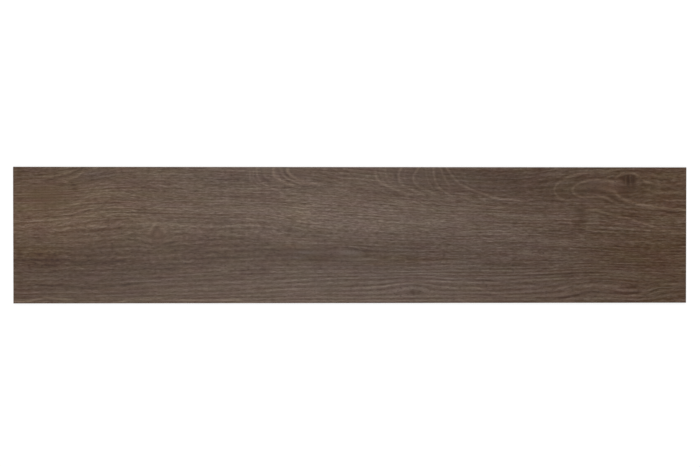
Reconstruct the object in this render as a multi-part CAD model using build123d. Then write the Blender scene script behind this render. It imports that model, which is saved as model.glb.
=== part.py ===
"""A wood-look luxury vinyl plank: one flat laminated sheet, punched to size with square corners.

The origin is the middle of the underside. X runs along the plank's length, Y across its width and Z up
to the wear face, so the plank lies flat on its back as it is laid. All sizes are in millimetres.
"""

import os

from build123d import *

# The plank as it is sold.
PLANK_LENGTH = 915.0
PLANK_WIDTH = 185.0
PLANK_THICKNESS = 2.5

# The punch enters through the wear layer and rolls its rim over slightly. The lower rim stays sharp.
WEAR_FACE_EDGE_RADIUS = 0.3


def punched_sheet():
    """The laminated sheet cut to its outline, standing on the underside."""
    return extrude(Rectangle(PLANK_LENGTH, PLANK_WIDTH), amount=PLANK_THICKNESS)


def roll_wear_face_edges(sheet):
    """Rounds the rim of the wear face all the way round."""
    wear_face = sheet.faces().sort_by(Axis.Z)[-1]
    return fillet(wear_face.edges(), WEAR_FACE_EDGE_RADIUS)


def main():
    """Builds the plank as one solid and writes it."""
    os.makedirs("parts", exist_ok=True)
    plank = roll_wear_face_edges(punched_sheet())
    export_step(plank, "parts/vinyl_plank.step")


main()
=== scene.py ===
"""Dresses the wood-look vinyl plank: a printed dark-oak film under a clear, embossed, matt wear layer.

The plank lies flat on its underside. The figure of its grain is measured in millimetres on the wear face:
"along" is the distance from the left end, and "depth" the distance from the back edge.
"""

import logging
import math
from dataclasses import dataclass
from enum import Enum

import bmesh
import bpy
import numpy as np
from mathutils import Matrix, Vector


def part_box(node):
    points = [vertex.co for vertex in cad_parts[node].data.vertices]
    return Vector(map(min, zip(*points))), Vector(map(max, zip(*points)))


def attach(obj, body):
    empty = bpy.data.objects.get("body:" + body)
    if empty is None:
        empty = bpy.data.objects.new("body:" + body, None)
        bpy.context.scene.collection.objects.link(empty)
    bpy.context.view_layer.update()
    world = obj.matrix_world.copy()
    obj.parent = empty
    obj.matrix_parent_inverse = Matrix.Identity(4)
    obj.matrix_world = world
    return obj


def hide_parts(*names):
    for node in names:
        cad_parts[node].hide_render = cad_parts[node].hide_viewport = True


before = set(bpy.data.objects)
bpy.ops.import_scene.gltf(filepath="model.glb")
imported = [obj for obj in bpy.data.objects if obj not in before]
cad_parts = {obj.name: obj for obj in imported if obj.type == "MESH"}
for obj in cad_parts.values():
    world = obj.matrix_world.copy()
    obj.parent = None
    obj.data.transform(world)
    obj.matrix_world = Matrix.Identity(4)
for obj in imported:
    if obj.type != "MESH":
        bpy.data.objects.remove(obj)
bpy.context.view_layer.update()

LOG = logging.getLogger("vinyl_plank")
MM = 0.001
PLANK_NODE = "vinyl_plank"
Array = np.ndarray
Tree = bpy.types.NodeTree
Node = bpy.types.Node
Socket = bpy.types.NodeSocket
Stops = tuple[tuple[float, str], ...]

# The points of a drawn grain line lie this far apart. Its cover is found for so many places at a time, and
# only for those no further than this many of its half widths from the box round it.
LINE_STEP = 1.2
LINE_BATCH = 4000
LINE_REACH = 4
# A grain line fades out over this length at each end, or over one part in this many where it is short.
LINE_FADE = 9.0
SHORT_FADE = 5
# The flanks of a grain line go the other way by this share of its tone. They spread over this many times
# the square of its half width.
FLANK = 0.5
FLANK_SPREAD = 5.0
# The random heights of the fibres repeat after this many.
FIBRE_TABLE = 512
# The wave texture's bands lie this far apart in its own units.
WAVE_PERIOD = math.pi / 10

# Settings of a Math node and of a Mix node, and the places of a Mix node's two colours and its result.
MULTIPLY_ADD = {"operation": "MULTIPLY_ADD"}
MIX_COLOURS = {"data_type": "RGBA"}
MIX_A = 6
MIX_B = 7
MIX_RESULT = 2

# The bands of the plank's UV map that hold its surfaces, as shares of the map's height. The wear face has
# most of it. Each of the four cut edges has a band of its own below the others: here are where the
# lowest begins, how far it is from one to the next, and how high each is.
FACE_BAND = (0.38, 0.998)
UNDERSIDE_BAND = (0.072, 0.372)
EDGE_BANDS_FOOT = 0.004
EDGE_BAND_PITCH = 0.016
EDGE_BAND_HEIGHT = 0.012
# How far all of them keep from the map's left and right sides.
MAP_MARGIN = 0.002


class Surface(Enum):
    """The plank's three finishes, by the number of their material slot."""

    WEAR_FACE = 0
    CUT_EDGE = 1
    UNDERSIDE = 2


class Shape(Enum):
    """How the grain leaves its straight run: over a hump, or by a step to another level."""

    HUMP = "hump"
    STEP = "step"


@dataclass(frozen=True)
class Knot:
    """A small branch cut across, which the fibres part round and close behind.

    Attributes:
        along, depth: its centre.
        radius: half its width across the plank.
        stretch: how many times longer its stir is along the plank than across it.
    """

    along: float
    depth: float
    radius: float
    stretch: float = 2.4

    def parting(self, along: Array, depth: Array) -> Array:
        """Gives how far the fibres at each place were pushed from their straight run.

        Args:
            along, depth: the places.

        Returns:
            The push in millimetres, as a stream parts round a post.
        """
        aside = depth - self.depth
        reach = ((along - self.along) / self.stretch) ** 2 + aside**2
        return -aside * self.radius**2 / (reach + self.radius**2)


@dataclass(frozen=True)
class Bend:
    """A stretch where the whole grain rises towards the back edge.

    Attributes:
        along, depth: the middle of the stretch.
        lift: how far the grain rises there, or sinks if it is negative.
        half_length, half_width: its reach along and across the plank.
        shape: whether the grain comes back down after it.
    """

    along: float
    depth: float
    lift: float
    half_length: float
    half_width: float
    shape: Shape = Shape.HUMP

    def parting(self, along: Array, depth: Array) -> Array:
        """Gives how far the fibres at each place were pushed from their straight run.

        Args:
            along, depth: the places.

        Returns:
            The push in millimetres.
        """
        run = (along - self.along) / self.half_length
        profile = np.exp(-run * run) if self.shape is Shape.HUMP else np.tanh(run) / 2
        return self.lift * profile * np.exp(-(((depth - self.depth) / self.half_width) ** 2))


@dataclass(frozen=True)
class SoftPatch:
    """A soft patch of the print, or of painted shade, that is lighter or darker, or warmer or cooler, than
    the rest.

    Attributes:
        along, depth: its centre.
        half_length, half_width: its reach along and across the plank.
        tone: how much lighter it is, in steps of the printed grey scale from 0 to 255.
        warmth: how much warmer it is, from -1 for the cool inks to 1 for the warm ones.
        calm: how much weaker the streaks are in it, as a share, or stronger if it is negative.
        lines: how much stronger the long lines are in it, as a share.
    """

    along: float
    depth: float
    half_length: float
    half_width: float
    tone: float = 0.0
    warmth: float = 0.0
    calm: float = 0.0
    lines: float = 0.0

    def cover(self, along: Array, depth: Array) -> Array:
        """Gives how strongly the patch covers each place.

        Args:
            along, depth: the places.

        Returns:
            The cover, from 0 to 1.
        """
        run = (along - self.along) / self.half_length
        rise = (depth - self.depth) / self.half_width
        return np.exp(-run * run - rise * rise)


@dataclass(frozen=True)
class GrainLine:
    """One edge of a growth ring that shows as a thin light or dark line.

    Attributes:
        tone: how much lighter it is than the ground, in steps of the printed grey scale.
        half_width: half its width.
        places: the points that it runs through, as (along, depth).
    """

    tone: float
    half_width: float
    places: list[tuple[float, float]]

    def drawn(self) -> Array:
        """Draws the line as a smooth curve through its places.

        Returns:
            Points along the curve, a millimetre or so apart.
        """
        ends = np.array([self.places[0], *self.places, self.places[-1]], float)
        stretches = []
        for before, start, end, after in zip(ends, ends[1:], ends[2:], ends[3:]):
            steps = max(2, round(float(np.linalg.norm(end - start)) / LINE_STEP))
            t = np.linspace(0.0, 1.0, steps, endpoint=False)[:, None]
            stretches.append(
                (2 * start + (end - before) * t
                 + (2 * before - 5 * start + 4 * end - after) * t**2
                 + (3 * start - before - 3 * end + after) * t**3) / 2
            )
        return np.vstack([*stretches, ends[-1:]])

    def cover(self, along: Array, depth: Array) -> Array:
        """Gives how strongly the line covers each place.

        Args:
            along, depth: the places.

        Returns:
            The cover, up to 1 on the line and below 0 on its flanks, which fades out at both ends.
        """
        found = np.zeros(along.shape)
        points = self.drawn()
        reach = LINE_REACH * self.half_width
        fade = min(LINE_FADE, LINE_STEP * len(points) / SHORT_FADE)
        near = np.flatnonzero(
            (along > points[:, 0].min() - reach) & (along < points[:, 0].max() + reach)
            & (depth > points[:, 1].min() - reach) & (depth < points[:, 1].max() + reach)
        )
        for some in np.array_split(near, max(1, len(near) // LINE_BATCH)):
            apart = (along[some, None] - points[:, 0]) ** 2 + (depth[some, None] - points[:, 1]) ** 2
            nearest = apart.argmin(1)
            from_end = np.minimum(nearest, len(points) - 1 - nearest) * LINE_STEP
            aside = apart.min(1) / self.half_width**2
            profile = (1 + FLANK) * np.exp(-aside) - FLANK * np.exp(-aside / FLANK_SPREAD)
            found[some] = profile * np.clip(from_end / fade, 0, 1)
        return found


@dataclass(frozen=True)
class FibreNoise:
    """Random streaks along the grain, where each fibre is a row of its own.

    Attributes:
        length: the distance between a fibre's random heights, along it.
        width: the distance from one fibre to the next.
        seed: which set of random heights it has.
        height: how high they are at most.
    """

    length: float
    width: float
    seed: int
    height: float

    def at(self, along: Array, across: Array) -> Array:
        """Gives the height of the noise at places in the grain.

        Args:
            along: the places along the fibres.
            across: the places across them.

        Returns:
            The heights, as far down as up.
        """
        rng = np.random.default_rng(self.seed)
        heights = rng.uniform(-1, 1, (FIBRE_TABLE, FIBRE_TABLE))
        shifts = rng.uniform(0, FIBRE_TABLE, FIBRE_TABLE)

        def fibre(row: Array) -> Array:
            """Gives the height of one fibre at each place.

            Args:
                row: the number of the fibre at each place.

            Returns:
                The heights.
            """
            run = along / self.length + shifts[row % FIBRE_TABLE]
            knot = np.floor(run).astype(int)
            share = smooth(run - knot)
            table_row = heights[row % FIBRE_TABLE, knot % FIBRE_TABLE]
            return table_row + (heights[row % FIBRE_TABLE, (knot + 1) % FIBRE_TABLE] - table_row) * share

        place = across / self.width
        row = np.floor(place).astype(int)
        low = fibre(row)
        return self.height * (low + (fibre(row + 1) - low) * smooth(place - row))


def smooth(share: Array) -> Array:
    """Gives an S-shaped blend from 0 to 1."""
    return share * share * (3 - 2 * share)


# What turns the fibres from their straight run: first the knots and the swirls, then the bends, each by
# its middle, its lift, and its half length and half width.
PARTINGS = (
    Knot(838, 16, 5.0, 1.5),  # the main knot, in the arches at the right
    Knot(83, 28, 3.2),  # the small knot at the left
    Knot(193, 90, 3.4, 1.7),  # the knot with a light V in it
    Knot(767, 70, 3.0, 1.6),  # the knot below the arches at the right
    Knot(451, 116, 4.0, 3.5),  # the light eye, which has no dark heart
    Knot(545, 171, 2.6),  # the low knot, at the front edge
    Knot(722, 117, 3.0),  # a swirl right of the middle
    Knot(858, 111, 2.0),  # a swirl at the right
    Bend(135, 46, 7, 60, 26),
    Bend(110, 76, 10, 110, 34, Shape.STEP),
    Bend(105, 6, 20, 52, 22, Shape.STEP),
    Bend(420, 6, -20, 150, 22, Shape.STEP),
    Bend(722, 10, 10, 32, 20, Shape.STEP),
    Bend(192, 104, -3, 22, 12),
    Bend(388, 66, -5, 45, 16),
    Bend(500, 52, -15, 110, 38, Shape.STEP),
    Bend(430, 72, -15, 110, 38, Shape.STEP),
    Bend(790, 106, -11, 70, 24, Shape.STEP),
    Bend(260, 155, 14, 190, 40, Shape.STEP),
    Bend(539, 160, 4, 32, 12),
    Bend(790, 158, 6, 48, 22),
    Bend(870, 172, 7, 14, 12, Shape.STEP),
    Bend(840, 70, -9, 60, 16, Shape.STEP),
)

# The thin lines of the growth rings, each by its tone, its half width and its points.
GRAIN_LINES = tuple(GrainLine(tone, half_width, places) for tone, half_width, *places in (
    # The arches at the left of the middle, where the saw ran nearly along the rings.
    (8, 1.4, (320, 4), (320, 15), (324, 23), (332, 29)),
    (8, 1.4, (325, 2), (325, 14), (330, 22), (339, 28)),
    (10, 1.8, (330, -14), (329, 5), (331, 15), (337, 22), (347, 28)),
    (-9, 1.8, (336, -14), (335, 4), (337, 12), (343, 18), (352, 24)),
    (12, 2.3, (353, -14), (352, 3), (352, 10), (356, 15), (364, 19), (374, 23), (386, 26)),
    (-9, 2.0, (360, -14), (359, 3), (360, 9), (364, 14), (372, 19)),
    (-11, 1.8, (367, -2), (366, 4), (368, 9), (373, 14), (382, 18)),
    (15, 2.2, (372, -2), (371, 4), (373, 9), (379, 14), (388, 18), (398, 19)),
    (12, 1.5, (362, 9), (368, 14), (376, 18), (386, 22), (400, 23), (416, 22)),
    (-6, 1.8, (376, 21), (388, 25), (402, 28)),
    (7, 1.5, (341, 24), (352, 30), (366, 36)),
    # The arches at the right of the middle.
    (12, 2.1, (489, 1), (490, 8), (492, 15), (497, 21), (507, 26), (518, 31), (531, 35), (545, 38)),
    (11, 2.1, (528, -2), (523, 6), (522, 13), (524, 21), (533, 28), (547, 34), (560, 38)),
    (12, 1.8, (556, -14), (549, 1), (543, 10), (542, 17), (545, 23), (552, 28), (561, 32), (576, 38)),
    (13, 1.8, (569, -14), (569, 0), (570, 12), (573, 22), (579, 30), (587, 35), (598, 41)),
    (10, 1.8, (574, -14), (578, 0), (583, 12), (588, 21), (594, 30)),
    (8, 1.6, (600, 38), (612, 42), (630, 47)),
    (14, 1.8, (578, -14), (587, 1), (595, 12), (603, 21), (611, 26), (620, 30), (632, 34), (645, 39),
     (662, 43), (680, 45), (702, 47)),
    # The fainter ones between them.
    (7, 1.8, (508, -14), (504, 0), (504, 10), (508, 19), (516, 26), (530, 31)),
    (6, 1.3, (498, -14), (496, 0), (497, 9), (501, 19), (510, 26), (522, 31)),
    (5, 1.3, (542, -14), (534, -2), (530, 8), (530, 17), (536, 25), (545, 30)),
    (7, 1.2, (561, -14), (559, 0), (560, 12), (564, 23), (571, 32), (580, 38)),
    (6, 1.2, (565, -14), (564, 0), (565, 12), (569, 22), (576, 31), (586, 38)),
    (6, 1.2, (586, -14), (595, 3), (604, 14), (615, 22), (630, 29), (646, 34)),
    (7, 1.8, (600, 48), (625, 52), (655, 55), (690, 56)),
    # The arches round the main knot, and the lines that run on from them.
    (13, 1.8, (820, 5), (800, 6), (780, 7), (764, 10), (750, 15), (740, 21), (735, 28), (735, 35),
     (740, 41), (748, 45), (762, 48)),
    (14, 1.8, (826, 19), (808, 19), (794, 17), (781, 18), (771, 21), (763, 25), (759, 30), (760, 35),
     (766, 39), (776, 41), (790, 40), (803, 41), (812, 44)),
    (14, 2.2, (815, 29), (819, 36), (826, 42), (835, 46), (846, 49), (859, 52), (873, 54), (893, 56),
     (925, 59)),
    (12, 1.8, (815, 17), (821, 12), (832, 8), (844, 9), (852, 15), (860, 20), (873, 23), (890, 24),
     (906, 22), (925, 20)),
    (10, 1.8, (849, 26), (860, 30), (873, 33), (890, 34), (906, 34), (925, 33)),
    (10, 1.8, (880, 45), (901, 45), (925, 46)),
    (14, 1.8, (774, 59), (788, 58), (799, 61), (810, 64), (820, 66), (832, 69), (852, 75), (868, 79)),
    (8, 1.8, (838, 72), (856, 77), (882, 85), (925, 92)),
    (7, 1.8, (858, 9), (880, 13), (900, 12), (925, 10)),
    # The lines at the left end.
    (10, 1.6, (34, 15), (54, 13), (69, 9), (86, 3), (102, -8)),
    (11, 1.6, (64, 17), (70, 20), (76, 24)),
    (7, 1.6, (12, 19), (28, 20), (45, 22)),
    (10, 1.8, (69, 20), (83, 14), (96, 7), (110, 2), (129, -8)),
    (10, 1.8, (64, 56), (89, 49), (107, 47), (123, 45), (148, 47), (172, 49)),
    (8, 1.8, (70, 66), (96, 58), (120, 54), (146, 56), (170, 60)),
    (15, 1.8, (-8, 183), (23, 181), (42, 177), (64, 179), (84, 181)),
    (13, 1.8, (120, 190), (140, 184), (159, 180), (200, 179), (250, 181), (310, 180)),
    # Long dark and light lines along the plank, and the short strokes in and round the knots.
    (-8, 1.8, (363, 18), (380, 22), (394, 26), (429, 30)),
    (-8, 1.8, (36, 68), (64, 68), (91, 63), (107, 57), (123, 55)),
    (-15, 1.7, (36, 161), (54, 161), (71, 162), (95, 164), (112, 164), (142, 161), (174, 158)),
    (-6, 2.6, (-10, 127), (40, 126), (80, 129), (115, 131), (160, 127)),
    (8, 1.6, (100, 80), (118, 78), (136, 76), (150, 73), (163, 71), (187, 74)),
    (9, 1.5, (462, 164), (499, 162), (522, 159), (540, 157), (565, 156), (600, 156)),
    (9, 1.6, (620, 163), (634, 166), (648, 171), (662, 174), (690, 177)),
    (-9, 1.6, (596, 151), (640, 154), (690, 159)),
    (-8, 1.8, (690, 148), (720, 147), (756, 146), (776, 144), (800, 144)),
    (-8, 1.8, (678, 157), (728, 161), (750, 158), (769, 155), (803, 155), (837, 160), (882, 160)),
    (-8, 1.8, (700, 171), (728, 170), (752, 165), (776, 158), (803, 155)),
    (-14, 2.2, (704, 179), (740, 179), (765, 174), (787, 170), (812, 171), (837, 172), (858, 168)),
    (-8, 1.8, (800, 163), (825, 165), (850, 163), (872, 158), (925, 154)),
    (-9, 1.8, (846, 181), (860, 174), (874, 167), (890, 164), (925, 165)),
    (-12, 1.6, (58, 25), (70, 24), (82, 24), (92, 23)),
    (-7, 2.6, (79, 23), (83, 28), (86, 33)),
    (-8, 1.6, (38, 18), (54, 17), (70, 13), (84, 7), (98, -2)),
    (-11, 1.8, (790, 43), (803, 45), (812, 49), (824, 54), (838, 58)),
    (7, 1.8, (752, 68), (756, 74), (757, 81), (753, 87)),
    (5, 2.2, (786, 68), (781, 74), (779, 81), (780, 88)),
    (-10, 1.6, (764, 84), (773, 86), (785, 89), (797, 91)),
    (-9, 2.7, (195, 80), (191, 87), (187, 95)),
    (-8, 2.3, (194, 82), (198, 88), (201, 94)),
    (6, 2.0, (176, 98), (182, 90), (188, 81), (194, 76), (200, 81), (209, 96)),
    (6, 1.8, (180, 97), (189, 99), (200, 99)),
    (-8, 1.5, (155, 99), (170, 100), (182, 104), (193, 108), (206, 105), (222, 101)),
    (-9, 3.2, (764, 33), (785, 31), (802, 34), (815, 42), (828, 50), (848, 57)),
    (-8, 1.8, (742, 7), (758, 4), (785, 1)),
    (-10, 1.5, (428, 110), (446, 109), (457, 110), (465, 112), (473, 114), (479, 118)),
    (15, 1.2, (832, 10), (832, 17), (832, 25)),
    (-8, 1.4, (835, 11), (835, 16), (836, 22)),
    (17, 1.2, (838, 10), (838, 17), (839, 26)),
    (-8, 1.7, (843, 11), (843, 16), (843, 23)),
    (-9, 1.8, (878, 18), (886, 17), (894, 18)),
))

# Soft patches of the print, and one of painted shade at the right end, each by its middle, its half length
# and half width, and its tone and warmth.
PRINT_AND_SHADE_PATCHES = (
    SoftPatch(430, 62, 330, 26, 5),
    SoftPatch(330, 116, 420, 18, -6),
    SoftPatch(430, 178, 330, 22, 4),
    SoftPatch(0, 5, 90, 18, -5, -0.3),
    SoftPatch(112, 13, 26, 10, -2, -0.8),
    SoftPatch(60, 32, 70, 34, calm=0.2),
    SoftPatch(905, 180, 60, 25, -5),
    SoftPatch(884, 84, 45, 20, 4.5, -0.2),
    SoftPatch(594, 76, 45, 16, 5),
    SoftPatch(670, 104, 70, 16, 3),
    SoftPatch(730, 46, 70, 14, -3),
    SoftPatch(730, 135, 70, 14, -3),
    SoftPatch(320, 118, 140, 26, -2.4),
    SoftPatch(139, 76, 45, 14, -3.5),
    SoftPatch(280, 14, 95, 15, warmth=-0.4),
    SoftPatch(42, 78, 85, 19, 8, 0.4),
    SoftPatch(30, 116, 50, 12, -2, 0.5),
    SoftPatch(60, 45, 170, 60, 0.5, 0.8),
    SoftPatch(110, 148, 130, 32, -5, -0.4),
    SoftPatch(92, 131, 85, 5, -5),
    SoftPatch(44, 42, 23, 11, -4, 0.5, calm=0.75),
    SoftPatch(385, 64, 16, 13, 2, 0.6),
    SoftPatch(440, 66, 110, 24, 5),
    SoftPatch(690, 18, 120, 26, -8, -0.45),
    SoftPatch(430, 150, 150, 28, warmth=-0.2),
    SoftPatch(610, 130, 230, 70, 2.5, -0.7),
    SoftPatch(413, 125, 20, 3.5, -11, 0.4),
    SoftPatch(420, 119, 85, 15, -0.5, calm=0.45),
    SoftPatch(396, 116, 12, 2.6, 6, -0.9),
    SoftPatch(384, 123, 11, 2, 5, -0.8),
    SoftPatch(376, 107, 14, 3, warmth=0.8),
    SoftPatch(479, 116, 8, 5, -8, 0.3),
    SoftPatch(500, 126, 6, 2.5, -7, 0.2),
    SoftPatch(497, 132, 16, 2, warmth=0.9),
    SoftPatch(541, 126, 48, 4.5, -9, 0.8),
    SoftPatch(850, 120, 90, 30, -4, 0.25),
    # Painted shade: the right end is made darker and warmer, in place of the overhead sheen that falls off
    # there.
    SoftPatch(890, 75, 90, 80, -5, 0.5),
    SoftPatch(454, 116, 15, 3.6, 9, -0.8),
    SoftPatch(836, 17.5, 9, 6.5, -16, -0.6, calm=0.6),
    SoftPatch(838, 32, 13, 12, -9, -0.2),
    SoftPatch(387, 8, 14, 9, -3, calm=0.6),
    SoftPatch(769, 75, 10, 13, -9, 0.1, calm=0.2),
    SoftPatch(770, 61, 7, 7, -6, -0.3),
    SoftPatch(83, 28, 6, 5.5, -12, 0.2),
    SoftPatch(194, 90, 13, 12, -1, 0.4, calm=0.5),
    SoftPatch(110, 166, 130, 22, -1, calm=0.25),
    SoftPatch(543, 171, 10, 3, -8),
    SoftPatch(858, 111, 6, 4, -3),
    SoftPatch(345, 8, 50, 14, calm=0.3),
    SoftPatch(560, 10, 75, 24, warmth=-0.35, calm=0.45),
    SoftPatch(518, 14, 3, 6, -8, -0.5),
    SoftPatch(790, 30, 50, 20, calm=0.6),
    SoftPatch(880, 30, 50, 26, calm=0.3),
    SoftPatch(808, 28, 15, 9, 6, 0.6),
    SoftPatch(460, 122, 430, 14, calm=0.1),
    SoftPatch(560, 168, 420, 32, calm=0.45, lines=1.2),
    SoftPatch(115, 78, 110, 36, lines=0.4),
    SoftPatch(190, 102, 190, 24, calm=0.2),
    SoftPatch(680, 24, 100, 22, calm=0.25),
    SoftPatch(180, 42, 80, 15, calm=-0.25),
    SoftPatch(405, 64, 60, 15, calm=-0.25),
    SoftPatch(590, 148, 90, 13, lines=0.9),
    SoftPatch(700, 84, 90, 16, lines=0.5),
)


@dataclass(frozen=True)
class GrainFigure:
    """The figure of the oak: where its fibres run, what the print darkens, and how deep it is embossed.

    Attributes:
        meander: the noises that the fibres sway with, in millimetres.
        emboss: the noises that make the relief.
        line_wear: the noise by which the drawn lines come and go.
        line_warmth: how much warmer a line is for each step that it is lighter.
    """

    meander: tuple[FibreNoise, ...] = (
        FibreNoise(length=95, width=24, seed=11, height=1.2),
        FibreNoise(length=32, width=8, seed=12, height=0.35),
    )
    emboss: tuple[FibreNoise, ...] = (
        FibreNoise(length=16, width=1.7, seed=21, height=0.6),
        FibreNoise(length=90, width=2.1, seed=22, height=0.4),
    )
    line_wear: FibreNoise = FibreNoise(length=11, width=5, seed=31, height=0.3)
    line_warmth: float = 0.03

    def across(self, along: Array, depth: Array) -> Array:
        """Gives each place's fibre, named by the depth at which that fibre would run if it were straight."""
        straight = depth + sum(parting.parting(along, depth) for parting in PARTINGS)
        return straight + sum(noise.at(along, depth) for noise in self.meander)

    def relief(self, along: Array, across: Array) -> Array:
        """Gives the emboss, from -1 in its deepest grooves to 1 on its ridges."""
        return sum(noise.at(along, across) for noise in self.emboss)

    def marks(self, along: Array, depth: Array) -> tuple[Array, Array, Array, Array]:
        """Gives how the print, with its painted shade, differs at each place from its average.

        Args:
            along, depth: the places.

        Returns:
            How much lighter it is, in steps of the printed grey scale; how much warmer, from -1 to 1, where
            light lines are warmer and dark ones cooler; and how strong its streaks and the rings' long
            lines are, where 1 is as on most of the face.
        """
        drawn = sum(line.tone * line.cover(along, depth) for line in GRAIN_LINES)
        drawn = drawn * (1 + self.line_wear.at(along, depth))
        covers = [patch.cover(along, depth) for patch in PRINT_AND_SHADE_PATCHES]
        tone, warmth, calm, lines = (
            sum(getattr(patch, name) * cover for patch, cover in zip(PRINT_AND_SHADE_PATCHES, covers))
            for name in ("tone", "warmth", "calm", "lines")
        )
        return drawn + tone, self.line_warmth * drawn + warmth, 1 - calm, 1 + lines


def colour(hex_value: str) -> tuple[float, float, float, float]:
    """Turns an sRGB colour into the linear one that a shader takes.

    Args:
        hex_value: the colour as six hex digits, such as 6B5A4E.

    Returns:
        Its linear red, green and blue, and 1 for the alpha.
    """
    parts = [int(hex_value[i:i + 2], 16) / 255 for i in (0, 2, 4)]
    linear = [p / 12.92 if p <= 0.04045 else ((p + 0.055) / 1.055) ** 2.4 for p in parts]
    return (*linear, 1.0)


def add_node(
    tree: Tree, kind: str, settings: dict | None = None, links: dict | None = None, stops: Stops = ()
) -> Node:
    """Adds a node to a material or world.

    Args:
        tree: the node tree.
        kind: the node's Blender type, without the ShaderNode that it starts with.
        settings: values by the name of a property, or by the name or number of an input.
        links: by the name or number of an input, the output that feeds it, or a node whose first does.
        stops: the places and hex colours of a colour ramp.

    Returns:
        The new node.
    """
    node = tree.nodes.new(f"ShaderNode{kind}")
    for name, value in (settings or {}).items():
        if isinstance(name, int) or name in node.inputs:
            node.inputs[name].default_value = value
        else:
            setattr(node, name, value)
    for name, source in (links or {}).items():
        output = source.outputs[0] if isinstance(source, Node) else source
        tree.links.new(output, node.inputs[name])
    for place, (position, hex_value) in enumerate(stops):
        elements = node.color_ramp.elements
        # A new ramp has two stops to begin with.
        element = elements[place] if place < 2 else elements.new(position)
        element.position = position
        element.color = colour(hex_value)
    return node


def new_tree(name: str) -> tuple[bpy.types.Material, Tree]:
    """Makes a material with an empty node tree.

    Args:
        name: the material's name.

    Returns:
        The material and its tree.
    """
    material = bpy.data.materials.new(name)
    material.use_nodes = True
    material.node_tree.nodes.clear()
    return material, material.node_tree


def end_tree(tree: Tree, ior: float, base: Socket, rough: Node, bump: Node) -> None:
    """Ends a material with its surface.

    Args:
        tree: the material's tree.
        ior: the surface's index of refraction.
        base, rough, bump: what gives its colour, its roughness and its normal.
    """
    links = {"Base Color": base, "Roughness": rough, "Normal": bump}
    surface = add_node(tree, "BsdfPrincipled", {"IOR": ior}, links)
    add_node(tree, "OutputMaterial", links={"Surface": surface})


@dataclass(frozen=True)
class Streaks:
    """One scale of the fibres' streaks, or of another mark that runs with them.

    Attributes:
        length, width: the size of a streak along and across the grain, in millimetres.
        detail: how many finer scales ride on it.
        seed: where in the noise it is taken, so that the scales don't line up.
        weight: how far it moves the print's tone, as a share of the ramp of inks.
        roughness: how strong the finer scales are.
    """

    length: float
    width: float
    detail: float
    seed: float
    weight: float = 1.0
    roughness: float = 0.55

    def noise(self, tree: Tree, grain: Socket) -> Node:
        """Adds a noise that is stretched along the grain.

        Args:
            tree: the material's tree.
            grain: the output with the place in the grain.

        Returns:
            The noise's node.
        """
        scale = (1 / self.length, 1 / self.width, 1)
        place = add_node(
            tree, "Mapping", {"Scale": scale, "Location": (self.seed, self.seed, 0)}, {"Vector": grain}
        )
        return add_node(
            tree, "TexNoise",
            {"noise_dimensions": "2D", "Scale": 1.0, "Detail": self.detail, "Roughness": self.roughness},
            {"Vector": place},
        )


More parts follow.
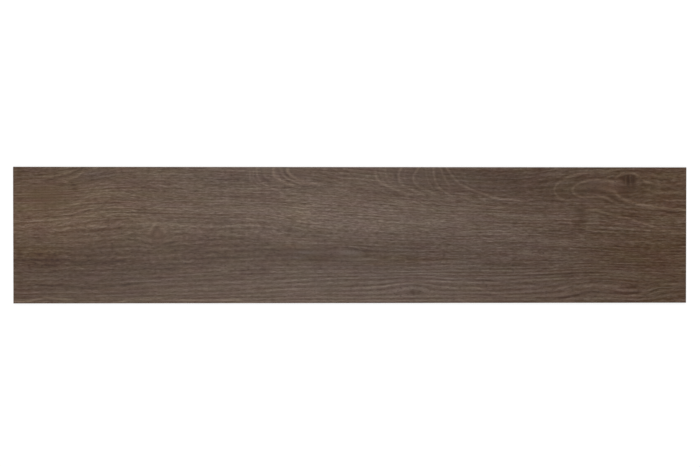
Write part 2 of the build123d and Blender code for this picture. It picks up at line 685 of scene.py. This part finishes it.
@dataclass(frozen=True)
class PrintedOakFilm:
    """Rotogravure-printed film under a matt urethane-coated clear wear layer.

    The print gives the eye dark smoked oak in brown inks. The clear layer over it gives a broad soft
    sheen, and its emboss gives fine shadows that run with the printed fibres. Lengths are in millimetres,
    weights are shares of the ramp of inks, and a tone step is one step of the printed grey scale. The
    pores are drawn a little coarser than in real oak, where they are finer than a pixel.
    """

    cool_inks: Stops = (
        (0.0, "2B1600"), (0.25, "3B291C"), (0.5, "4D3D34"), (0.75, "5E5047"), (1.0, "70625A"),
    )
    warm_inks: Stops = (
        (0.0, "321600"), (0.25, "422908"), (0.5, "533D28"), (0.75, "64503E"), (1.0, "756251"),
    )
    streaks: tuple[Streaks, ...] = (
        Streaks(length=80, width=12.0, detail=0, seed=3.1, weight=0.2),
        Streaks(length=90, width=2.1, detail=0, seed=55.2, weight=0.30),
        Streaks(length=18, width=1.9, detail=1, seed=17.7, weight=0.50),
        Streaks(length=7.0, width=1.6, detail=1, seed=41.3, weight=0.62),
        Streaks(length=11, width=0.4, detail=1, seed=8.6, weight=0.38),
    )
    hairlines: Streaks = Streaks(length=42, width=3.0, detail=1, seed=29.4, weight=0.13)
    hairline_spread: float = 0.075
    hairline_shares: tuple[float, float] = (0.65, -0.35)
    ring_period: float = 5.3
    ring_length: float = 170.0
    ring_sway: float = 4.5
    ring_weight: float = 0.12
    hue_patches: Streaks = Streaks(length=42, width=8, detail=2, seed=91.7)
    hue_drift: float = 0.5
    turned_patches: Streaks = Streaks(length=45, width=15, detail=3, seed=12.9)
    hue_turn: float = 0.05
    pores: Streaks = Streaks(length=4.5, width=0.42, detail=1, seed=73.9)
    pore_edges: tuple[float, float] = (0.63, 0.74)
    pore_ink: str = "A8A09A"
    pore_dip: float = 0.6
    tone_step: float = 0.018
    relief_tone: float = 4.0
    roughness: tuple[float, float] = (0.40, 0.54)
    fine_relief: float = 0.05
    ior: float = 1.45

    def make(self) -> bpy.types.Material:
        """Builds the material.

        Returns:
            The material.
        """
        material, tree = new_tree("printed_oak_film_matt_wear_layer")
        grain = add_node(tree, "Attribute", {"attribute_name": "grain"}).outputs["Vector"]
        figure = add_node(tree, "Attribute", {"attribute_name": "figure"}).outputs["Vector"]
        marks = add_node(tree, "SeparateXYZ", links={0: figure})
        tone = self._tone(tree, grain, marks)
        start, full = self.pore_edges
        pores = add_node(
            tree, "MapRange", {"interpolation_type": "SMOOTHSTEP", "From Min": start, "From Max": full},
            {"Value": self.pores.noise(tree, grain)},
        )
        inks = self._inks(tree, grain, tone, marks.outputs["Y"])
        in_pores = add_node(
            tree, "Mix", MIX_COLOURS | {"blend_type": "MULTIPLY", MIX_B: colour(self.pore_ink)},
            {0: pores, MIX_A: inks},
        )
        smooth_part, rough_part = self.roughness
        rough = add_node(tree, "MapRange", {"To Min": smooth_part, "To Max": rough_part}, {"Value": pores})
        height = add_node(tree, "Math", MULTIPLY_ADD | {1: -self.pore_dip}, {0: pores, 2: tone})
        bump = add_node(tree, "Bump", {"Distance": self.fine_relief * MM}, {"Height": height})
        end_tree(tree, self.ior, in_pores.outputs[MIX_RESULT], rough, bump)
        return material

    def _lines(self, tree: Tree, grain: Socket) -> tuple[Node, Node]:
        """Adds the thin light lines that wander along the grain, and the rings' long, nearly even ones.

        Args:
            tree: the material's tree.
            grain: the output with the place in the grain.

        Returns:
            The nodes that give how far each kind moves the tone.
        """
        noise = self.hairlines.noise(tree, grain)
        above = add_node(tree, "Math", {"operation": "SUBTRACT", 1: 0.5}, {0: noise})
        apart = add_node(tree, "Math", {"operation": "ABSOLUTE"}, {0: above})
        on_line, off_line = (share * self.hairlines.weight for share in self.hairline_shares)
        hairlines = add_node(
            tree, "MapRange",
            {"interpolation_type": "SMOOTHSTEP", "From Max": self.hairline_spread,
             "To Min": on_line, "To Max": off_line},
            {"Value": apart},
        )
        scale = (1 / self.ring_length, WAVE_PERIOD / self.ring_period, 0)
        place = add_node(tree, "Mapping", {"Scale": scale}, {"Vector": grain})
        wave = {"bands_direction": "Y", "Scale": 1.0, "Distortion": self.ring_sway, "Detail": 1.0}
        bands = add_node(tree, "TexWave", wave, {"Vector": place}).outputs["Fac"]
        most = self.ring_weight / 2
        return hairlines, add_node(tree, "MapRange", {"To Min": -most, "To Max": most}, {"Value": bands})

    def _tone(self, tree: Tree, grain: Socket, marks: Node) -> Node:
        """Adds what says how light the print is.

        Args:
            tree: the material's tree.
            grain: the output with the place in the grain, and the streaks' strength there.
            marks: the node with the figure's tone, warmth and relief.

        Returns:
            The node that gives the tone, from 0 to 1.
        """
        strength = add_node(tree, "SeparateXYZ", links={0: grain}).outputs["Z"]
        line_strength = add_node(tree, "Attribute", {"attribute_name": "lines"}).outputs["Fac"]
        middle = -sum(streak.weight for streak in self.streaks) / 2
        streaks = add_node(
            tree, "Math", MULTIPLY_ADD | {1: self.relief_tone * self.tone_step, 2: middle},
            {0: marks.outputs["Z"]},
        )
        for streak in self.streaks:
            noise = streak.noise(tree, grain)
            streaks = add_node(tree, "Math", MULTIPLY_ADD | {1: streak.weight}, {0: noise, 2: streaks})
        hairlines, rings = self._lines(tree, grain)
        streaks = add_node(tree, "Math", {"operation": "ADD"}, {0: hairlines, 1: streaks})
        lined = add_node(tree, "Math", MULTIPLY_ADD | {2: 0.5}, {0: rings, 1: line_strength})
        ground = add_node(
            tree, "Math", MULTIPLY_ADD | {1: self.tone_step}, {0: marks.outputs["X"], 2: lined}
        )
        return add_node(tree, "Math", MULTIPLY_ADD, {0: streaks, 1: strength, 2: ground})

    def _inks(self, tree: Tree, grain: Socket, tone: Node, warmth: Socket) -> Node:
        """Adds the print's colour.

        Args:
            tree: the material's tree.
            grain: the output with the place in the grain.
            tone, warmth: what gives how light and how warm the print is.

        Returns:
            The node that gives the colour.
        """
        drift = self.hue_patches.noise(tree, grain)
        lean = add_node(tree, "Math", MULTIPLY_ADD | {1: 0.5, 2: (1 - self.hue_drift) / 2}, {0: warmth})
        share = add_node(tree, "Math", MULTIPLY_ADD | {1: self.hue_drift}, {0: drift, 2: lean})
        cool = add_node(tree, "ValToRGB", links={0: tone}, stops=self.cool_inks)
        warm = add_node(tree, "ValToRGB", links={0: tone}, stops=self.warm_inks)
        mixed = add_node(tree, "Mix", MIX_COLOURS, {0: share, MIX_A: cool, MIX_B: warm})
        hue = add_node(
            tree, "Math", MULTIPLY_ADD | {1: self.hue_turn, 2: 0.5 - self.hue_turn / 2},
            {0: self.turned_patches.noise(tree, grain)},
        )
        links = {"Hue": hue, "Color": mixed.outputs[MIX_RESULT]}
        return add_node(tree, "HueSaturation", links=links)


@dataclass(frozen=True)
class PunchedEdge:
    """The punched edge of the laminate: filled vinyl, with the print film and the clear layer on top.

    It gives the eye a dull dark grey edge with a thin brown line and a slightly glassy one above it.
    Lengths are in millimetres. The fill and the drag of the punch are noises, each by the size of a grain
    and how many finer scales it has. The speckle is the range of the fill's noise and that of its shade.
    """

    thickness: float = 2.5
    wear_layer: float = 0.4
    print_film: float = 0.1
    backing: float = 0.3
    core_blend: float = 0.01
    film_blend: float = 0.02
    fill: tuple[float, float, float, float] = (0.35, 0.35, 0.35, 2)
    drag: tuple[float, float, float, float] = (0.5, 0.5, 6.0, 1)
    speckle: tuple[float, float, float, float] = (0.35, 0.7, 0.8, 1.15)
    roughness: tuple[float, float] = (0.5, 0.75)
    relief: float = 0.04
    ior: float = 1.5

    def make(self) -> bpy.types.Material:
        """Builds the material.

        Returns:
            The material.
        """
        material, tree = new_tree("punched_filled_vinyl_edge")
        place = add_node(tree, "TexCoord").outputs["Object"]
        height = add_node(tree, "SeparateXYZ", links={0: place}).outputs["Z"]
        share = add_node(tree, "Math", {"operation": "MULTIPLY", 1: 1 / (self.thickness * MM)}, {0: height})
        film_top = 1 - self.wear_layer / self.thickness
        film_foot = film_top - self.print_film / self.thickness
        layers = add_node(
            tree, "ValToRGB", links={0: share},
            stops=(
                (0.0, "3A3937"), (self.backing / self.thickness, "45423F"),
                (film_foot - self.core_blend, "4A4744"), (film_foot, "4A3B30"), (film_top, "4A3B30"),
                (film_top + self.film_blend, "57493E"), (1.0, "5A4C41"),
            ),
        )
        drag = self._noise(tree, place, self.drag)
        names = ("From Min", "From Max", "To Min", "To Max")
        speck = add_node(
            tree, "MapRange", dict(zip(names, self.speckle)), {"Value": self._noise(tree, place, self.fill)}
        )
        speckled = add_node(
            tree, "Mix", MIX_COLOURS | {"blend_type": "MULTIPLY", 0: 1.0}, {MIX_A: layers, MIX_B: speck}
        )
        smooth_part, rough_part = self.roughness
        rough = add_node(tree, "MapRange", {"To Min": smooth_part, "To Max": rough_part}, {"Value": drag})
        bump = add_node(tree, "Bump", {"Distance": self.relief * MM}, {"Height": drag})
        end_tree(tree, self.ior, speckled.outputs[MIX_RESULT], rough, bump)
        return material

    def _noise(self, tree: Tree, place: Socket, grain: tuple[float, float, float, float]) -> Node:
        """Adds a noise.

        Args:
            tree: the material's tree.
            place: the output with the place on the plank.
            grain: the size of its grains in millimetres, and how many finer scales it has.

        Returns:
            The noise's node.
        """
        *size, detail = grain
        scaled = add_node(tree, "Mapping", {"Scale": tuple(1 / (s * MM) for s in size)}, {"Vector": place})
        return add_node(tree, "TexNoise", {"Scale": 1.0, "Detail": detail}, {"Vector": scaled})


@dataclass(frozen=True)
class EmbossedBacking:
    """The calendered vinyl backing, with the fine cloth-like emboss that holds the adhesive.

    It gives the eye a dull, even, dark grey with a fine net that catches the light from the side. Its pitch
    and relief are in millimetres. At the wave scale, the wave texture's bands are a unit apart.
    """

    pitch: float = 1.8
    wave_scale: float = 0.314
    sway: float = 0.4
    mottle_scale: float = 28.0
    mottle_detail: float = 5.0
    mottle_roughness: float = 0.6
    vinyl: Stops = ((0.3, "353432"), (0.7, "43413E"))
    rib: str = "514F4B"
    relief: float = 0.12
    roughness: tuple[float, float] = (0.72, 0.6)
    ior: float = 1.5

    def make(self) -> bpy.types.Material:
        """Builds the material.

        Returns:
            The material.
        """
        material, tree = new_tree("calendered_vinyl_backing")
        place = add_node(tree, "TexCoord").outputs["Object"]
        scale = self.wave_scale / (self.pitch * MM)
        ribs = [
            add_node(
                tree, "TexWave", {"bands_direction": axis, "Scale": scale, "Distortion": self.sway},
                {"Vector": place},
            ).outputs["Fac"]
            for axis in ("X", "Y")
        ]
        net = add_node(tree, "Math", {"operation": "MULTIPLY"}, {0: ribs[0], 1: ribs[1]})
        mottle = add_node(
            tree, "TexNoise",
            {"Scale": self.mottle_scale, "Detail": self.mottle_detail, "Roughness": self.mottle_roughness},
            {"Vector": place},
        )
        vinyl = add_node(tree, "ValToRGB", links={0: mottle}, stops=self.vinyl)
        rubbed = add_node(tree, "Mix", MIX_COLOURS | {MIX_B: colour(self.rib)}, {0: net, MIX_A: vinyl})
        bump = add_node(tree, "Bump", {"Distance": self.relief * MM}, {"Height": net})
        between_ribs, on_ribs = self.roughness
        rough = add_node(tree, "MapRange", {"To Min": between_ribs, "To Max": on_ribs}, {"Value": net})
        end_tree(tree, self.ior, rubbed.outputs[MIX_RESULT], rough, bump)
        return material


def vertex_places(mesh: bpy.types.Mesh) -> Array:
    """Reads where a mesh's vertices are.

    Args:
        mesh: the mesh.

    Returns:
        Their places, one a row.
    """
    flat = np.empty(len(mesh.vertices) * 3, np.float32)
    mesh.vertices.foreach_get("co", flat)
    return flat.reshape(-1, 3).astype(float)


@dataclass
class VinylPlank:
    """The plank's visible skin: the embossed wear face with its rolled rim, the cut edges and the underside.

    Attributes:
        low, high: the corners of the CAD plank, in metres.
        figure: the figure of its grain.
        rim_radius: how far the punch rolls the wear face over at its rim, in millimetres.
        rim_steps: how many faces the rim's roll has.
        emboss_depth: from the ridges of the emboss to its grooves, in millimetres.
        coarse_step, fine_step: the mesh's spacing along the plank, left and right of figure_start.
        figure_start: where the close figure begins, from the left end.
        row_step: the mesh's spacing across the plank.
        sharp_angle: how far two faces turn from one to the next where the edge between them is sharp.
        rim_slack: how much further in than the rim's radius a vertex still counts as on the rim.
    """

    low: Vector
    high: Vector
    figure: GrainFigure
    rim_radius: float = 0.3
    rim_steps: int = 3
    emboss_depth: float = 0.12
    coarse_step: float = 2.6
    fine_step: float = 1.6
    figure_start: float = 320.0
    row_step: float = 1.05
    sharp_angle: float = math.radians(35)
    rim_slack: float = 1.01

    @property
    def length(self) -> float:
        """The plank's length in millimetres."""
        return (self.high.x - self.low.x) / MM

    @property
    def width(self) -> float:
        """The plank's width in millimetres."""
        return (self.high.y - self.low.y) / MM

    def measured(self, mesh_places: Array) -> tuple[Array, Array]:
        """Turns points of the mesh, one a row, into their places along the plank and from its back edge."""
        return (mesh_places[:, 0] - self.low.x) / MM, (self.high.y - mesh_places[:, 1]) / MM

    def build(self) -> bpy.types.Object:
        """Builds the plank's mesh, in place.

        Returns:
            The new object.
        """
        bm = bmesh.new()
        self._wear_face(bm)
        self._rim_and_edges(bm)
        bmesh.ops.recalc_face_normals(bm, faces=bm.faces)
        for edge in bm.edges:
            edge.smooth = edge.calc_face_angle(0.0) < self.sharp_angle
        mesh = bpy.data.meshes.new("printed_vinyl_plank")
        bm.to_mesh(mesh)
        bm.free()
        self._mark_grain(mesh)
        self._lay_out_map(mesh)
        plank = bpy.data.objects.new("printed_vinyl_plank", mesh)
        bpy.context.scene.collection.objects.link(plank)
        return plank

    def _wear_face(self, bm: bmesh.types.BMesh) -> None:
        """Makes the flat of the wear face, embossed along the grain.

        Args:
            bm: the mesh, empty so far.
        """
        coarse = round(self.figure_start / self.coarse_step)
        fine = round((self.length - self.figure_start) / self.fine_step)
        columns = coarse + fine
        bmesh.ops.create_grid(bm, x_segments=columns, y_segments=round(self.width / self.row_step), size=0.5)
        rim = self.rim_radius * MM
        flat_low = Vector((self.low.x + rim, self.low.y + rim, 0))
        flat_high = Vector((self.high.x - rim, self.high.y - rim, 0))
        change = self.low.x + self.figure_start * MM
        # The grid runs from -0.5 to 0.5 both ways before it is drawn out to the plank.
        places = np.array([vert.co for vert in bm.verts])
        places[:, 0] = np.interp(
            places[:, 0] + 0.5, (0, coarse / columns, 1), (flat_low.x, change, flat_high.x)
        )
        places[:, 1] = flat_low.y + (places[:, 1] + 0.5) * (flat_high.y - flat_low.y)
        along, depth = self.measured(places)
        relief = self.figure.relief(along, self.figure.across(along, depth))
        places[:, 2] = self.high.z - self.emboss_depth * MM * (1 - relief) / 2
        for vert, place in zip(bm.verts, places):
            vert.co = place
        for face in bm.faces:
            face.material_index = Surface.WEAR_FACE.value
            face.smooth = True

    def _rim_and_edges(self, bm: bmesh.types.BMesh) -> None:
        """Rolls the wear face over at its rim, drops the cut edges from it and closes the underside.

        Args:
            bm: the mesh, with only the flat of the wear face so far.
        """
        turns = [math.pi / 2 * step / self.rim_steps for step in range(self.rim_steps + 1)]
        reach = self.rim_radius * MM * self.rim_slack
        for last, turn in zip(turns, turns[1:]):
            out = self.rim_radius * MM * (math.sin(turn) - math.sin(last))
            down = self.rim_radius * MM * (math.cos(last) - math.cos(turn))
            for vert in self._pulled_out(bm, Surface.WEAR_FACE):
                at_end = min(vert.co.x - self.low.x, self.high.x - vert.co.x) < reach
                at_side = min(vert.co.y - self.low.y, self.high.y - vert.co.y) < reach
                vert.co.x += math.copysign(out, vert.co.x) if at_end else 0.0
                vert.co.y += math.copysign(out, vert.co.y) if at_side else 0.0
                vert.co.z -= down
        for vert in self._pulled_out(bm, Surface.CUT_EDGE):
            vert.co.z = self.low.z
        foot = [edge for edge in bm.edges if edge.is_boundary]
        for face in bmesh.ops.edgeloop_fill(bm, edges=foot)["faces"]:
            face.material_index = Surface.UNDERSIDE.value
            face.smooth = False

    def _pulled_out(self, bm: bmesh.types.BMesh, surface: Surface) -> list[bmesh.types.BMVert]:
        """Extrudes the mesh's open edge into a band of new faces.

        Args:
            bm: the mesh.
            surface: the finish of the new faces.

        Returns:
            The vertices of the new open edge, which still lie on the old one.
        """
        rim = [edge for edge in bm.edges if edge.is_boundary]
        made = bmesh.ops.extrude_edge_only(bm, edges=rim)["geom"]
        for item in made:
            if isinstance(item, bmesh.types.BMFace):
                item.material_index = surface.value
                item.smooth = True
        return [item for item in made if isinstance(item, bmesh.types.BMVert)]

    def _mark_grain(self, mesh: bpy.types.Mesh) -> None:
        """Stores the figure on the mesh, where the print's material reads it.

        Args:
            mesh: the plank's mesh.
        """
        along, depth = self.measured(vertex_places(mesh))
        across = self.figure.across(along, depth)
        tone, warmth, strength, line_strength = self.figure.marks(along, depth)
        figure = (tone, warmth, self.figure.relief(along, across))
        for name, values in (("grain", (along, across, strength)), ("figure", figure)):
            attribute = mesh.attributes.new(name, "FLOAT_VECTOR", "POINT")
            attribute.data.foreach_set("vector", np.stack(values, 1).astype(np.float32).ravel())
        lines = mesh.attributes.new("lines", "FLOAT", "POINT")
        lines.data.foreach_set("value", line_strength.astype(np.float32))

    def _lay_out_map(self, mesh: bpy.types.Mesh) -> None:
        """Lays the plank out on a UV map that gives the wear face most of its height.

        Args:
            mesh: the plank's mesh.
        """
        layer = mesh.uv_layers.new(name="OFBake")
        corners = np.empty(len(mesh.loops), np.int32)
        mesh.loops.foreach_get("vertex_index", corners)
        share = (vertex_places(mesh) - np.array(self.low)) / np.array(self.high - self.low)
        share = share[corners]
        uv = np.empty((len(corners), 2))
        for face in mesh.polygons:
            part = slice(face.loop_start, face.loop_start + face.loop_total)
            run, rise, bottom, top = self._band(face)
            uv[part, 0] = MAP_MARGIN + (1 - 2 * MAP_MARGIN) * share[part, run]
            uv[part, 1] = bottom + (top - bottom) * share[part, rise]
        layer.uv.foreach_set("vector", uv.astype(np.float32).ravel())

    def _band(self, face: bpy.types.MeshPolygon) -> tuple[int, int, float, float]:
        """Gives where a face lies on the UV map.

        Args:
            face: the face.

        Returns:
            The axes that the map follows along it and up it, and the foot and top of its band.
        """
        x, y, z = 0, 1, 2
        if face.material_index == Surface.WEAR_FACE.value:
            return x, y, *FACE_BAND
        if face.material_index == Surface.UNDERSIDE.value:
            return x, y, *UNDERSIDE_BAND
        at_end = abs(face.normal.x) > abs(face.normal.y)
        row = (2 if at_end else 0) + (1 if face.normal[x if at_end else y] > 0 else 0)
        bottom = EDGE_BANDS_FOOT + EDGE_BAND_PITCH * row
        return (y if at_end else x), z, bottom, bottom + EDGE_BAND_HEIGHT

    def dress(self, plank: bpy.types.Object) -> None:
        """Gives each surface its finish.

        Args:
            plank: the plank.
        """
        finishes = {
            Surface.WEAR_FACE: PrintedOakFilm(),
            Surface.CUT_EDGE: PunchedEdge(),
            Surface.UNDERSIDE: EmbossedBacking(),
        }
        for surface in Surface:
            plank.data.materials.append(finishes[surface].make())


@dataclass(frozen=True)
class MattWhiteFloor:
    """The floor's matt white paint.

    It gives the eye the plank's soft shadow on a pale ground that fades into the studio's white sweep. The
    camera sees the paint's share of light and shade, with a white glow that grows from near to far. Both
    are distances from the plank's middle in metres.
    """

    paint: str = "EDEDED"
    paint_share: float = 0.35
    glow_near: float = 0.72
    glow_far: float = 1.0
    near: float = 0.7
    far: float = 1.6

    def make(self) -> bpy.types.Material:
        """Builds the material, which can't be seen from below.

        Returns:
            The material.
        """
        material, tree = new_tree("matt_white_floor")
        paint = add_node(tree, "BsdfDiffuse", {"Color": colour(self.paint)})
        lit = add_node(tree, "MixShader", {0: self.paint_share}, {2: paint})
        place = add_node(tree, "TexCoord").outputs["Object"]
        apart = add_node(tree, "VectorMath", {"operation": "LENGTH"}, {0: place}).outputs["Value"]
        strength = add_node(
            tree, "MapRange",
            {"From Min": self.near, "From Max": self.far, "To Min": self.glow_near, "To Max": self.glow_far},
            {"Value": apart},
        )
        glow = add_node(tree, "Emission", links={"Strength": strength})
        seen = add_node(tree, "AddShader", links={0: lit, 1: glow})
        ray = add_node(tree, "LightPath").outputs["Is Camera Ray"]
        either = add_node(tree, "MixShader", links={0: ray, 1: paint, 2: seen})
        clear = add_node(tree, "BsdfTransparent")
        back = add_node(tree, "NewGeometry").outputs["Backfacing"]
        shown = add_node(tree, "MixShader", links={0: back, 1: either, 2: clear})
        add_node(tree, "OutputMaterial", links={"Surface": shown})
        return material


@dataclass(frozen=True)
class SoftBox:
    """A soft rectangular light above the plank, its place and size in metres and its tilt in degrees."""

    name: str
    place: tuple[float, float, float]
    tilt: float
    length: float
    width: float
    watts: float

    def hang(self) -> None:
        """Adds the light to the scene."""
        light = bpy.data.lights.new(self.name, "AREA")
        light.shape = "RECTANGLE"
        light.size, light.size_y = self.length, self.width
        light.energy = self.watts
        lamp = bpy.data.objects.new(self.name, light)
        lamp.location = self.place
        lamp.rotation_euler = (math.radians(self.tilt), 0.0, 0.0)
        bpy.context.scene.collection.objects.link(lamp)


@dataclass
class Studio:
    """A pale floor, a soft overhead light that lays a sheen on the plank, and the camera above it.

    Attributes:
        low, high: the corners of the plank, in metres, as are the floor's size and the camera's place. low
            is not used.
        floor_overlap: how far the floor reaches in under the plank's edges, in millimetres.
        ambient: the strength of the even light from all round.
        lens, sensor: the camera's focal length and the width of its sensor, in millimetres.
        camera_tilt: how far it is turned about each axis, in degrees.
    """

    low: Vector
    high: Vector
    floor_size: float = 40.0
    floor_overlap: float = 0.3
    ambient: float = 0.35
    soft_boxes: tuple[SoftBox, ...] = (
        SoftBox("overhead_softbox", (-0.30, 0.0, 1.75), 0.0, length=1.0, width=0.8, watts=5.0),
        SoftBox("back_softbox", (0.0, 1.9, 1.5), -52.0, length=2.4, width=0.9, watts=42.0),
        SoftBox("front_softbox", (0.0, -1.9, 1.5), 52.0, length=2.4, width=0.9, watts=34.0),
    )
    lens: float = 50.0
    sensor: float = 36.0
    camera_place: tuple[float, float, float] = (-0.0206, 0.0126, 1.3236)
    camera_tilt: tuple[float, float, float] = (-0.452, -0.813, 0.0)

    def build(self) -> None:
        """Builds the floor, the lights, the world and the camera."""
        self._floor()
        for soft_box in self.soft_boxes:
            soft_box.hang()
        self._world()
        self._camera()

    def _floor(self) -> None:
        """Lays the floor round the plank, open beneath it so that the underside can be looked at too."""
        bm = bmesh.new()
        bmesh.ops.create_grid(bm, x_segments=3, y_segments=3, size=self.floor_size / 2)
        for vert in bm.verts:
            for axis in (0, 1):
                if abs(vert.co[axis]) < self.floor_size / 3:
                    edge = self.high[axis] - self.floor_overlap * MM
                    vert.co[axis] = math.copysign(edge, vert.co[axis])
        opening = min(bm.faces, key=lambda face: face.calc_area())
        bmesh.ops.delete(bm, geom=[opening], context="FACES_ONLY")
        mesh = bpy.data.meshes.new("floor")
        bm.to_mesh(mesh)
        bm.free()
        floor = bpy.data.objects.new("floor", mesh)
        bpy.context.scene.collection.objects.link(floor)
        mesh.materials.append(MattWhiteFloor().make())

    def _world(self) -> None:
        """Surrounds the scene with even light, which the camera sees as white."""
        world = bpy.data.worlds.new("white_cyclorama")
        world.use_nodes = True
        tree = world.node_tree
        tree.nodes.clear()
        ray = add_node(tree, "LightPath").outputs["Is Camera Ray"]
        strength = add_node(tree, "MapRange", {"To Min": self.ambient, "To Max": 1.0}, {"Value": ray})
        light = add_node(tree, "Background", {"Color": colour("FFFFFF")}, {"Strength": strength})
        add_node(tree, "OutputWorld", links={"Surface": light})
        bpy.context.scene.world = world

    def _camera(self) -> None:
        """Hangs the camera over the plank, as in the photograph."""
        data = bpy.data.cameras.new("camera")
        data.lens = self.lens
        data.sensor_width = self.sensor
        camera = bpy.data.objects.new("camera", data)
        camera.location = self.camera_place
        camera.rotation_euler = [math.radians(angle) for angle in self.camera_tilt]
        bpy.context.scene.collection.objects.link(camera)
        bpy.context.scene.camera = camera


def main() -> None:
    """Builds the plank and the studio, in order."""
    logging.basicConfig(level=logging.INFO, format="%(message)s")
    low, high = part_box(PLANK_NODE)
    plank = VinylPlank(low, high, GrainFigure())
    piece = plank.build()
    plank.dress(piece)
    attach(piece, "root")
    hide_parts(PLANK_NODE)
    LOG.info("%s: %d faces", piece.name, len(piece.data.polygons))
    Studio(low, high).build()
    LOG.info("studio: floor, lights and camera")
    bpy.context.scene.view_settings.view_transform = "Standard"


if __name__ == "__main__":
    main()
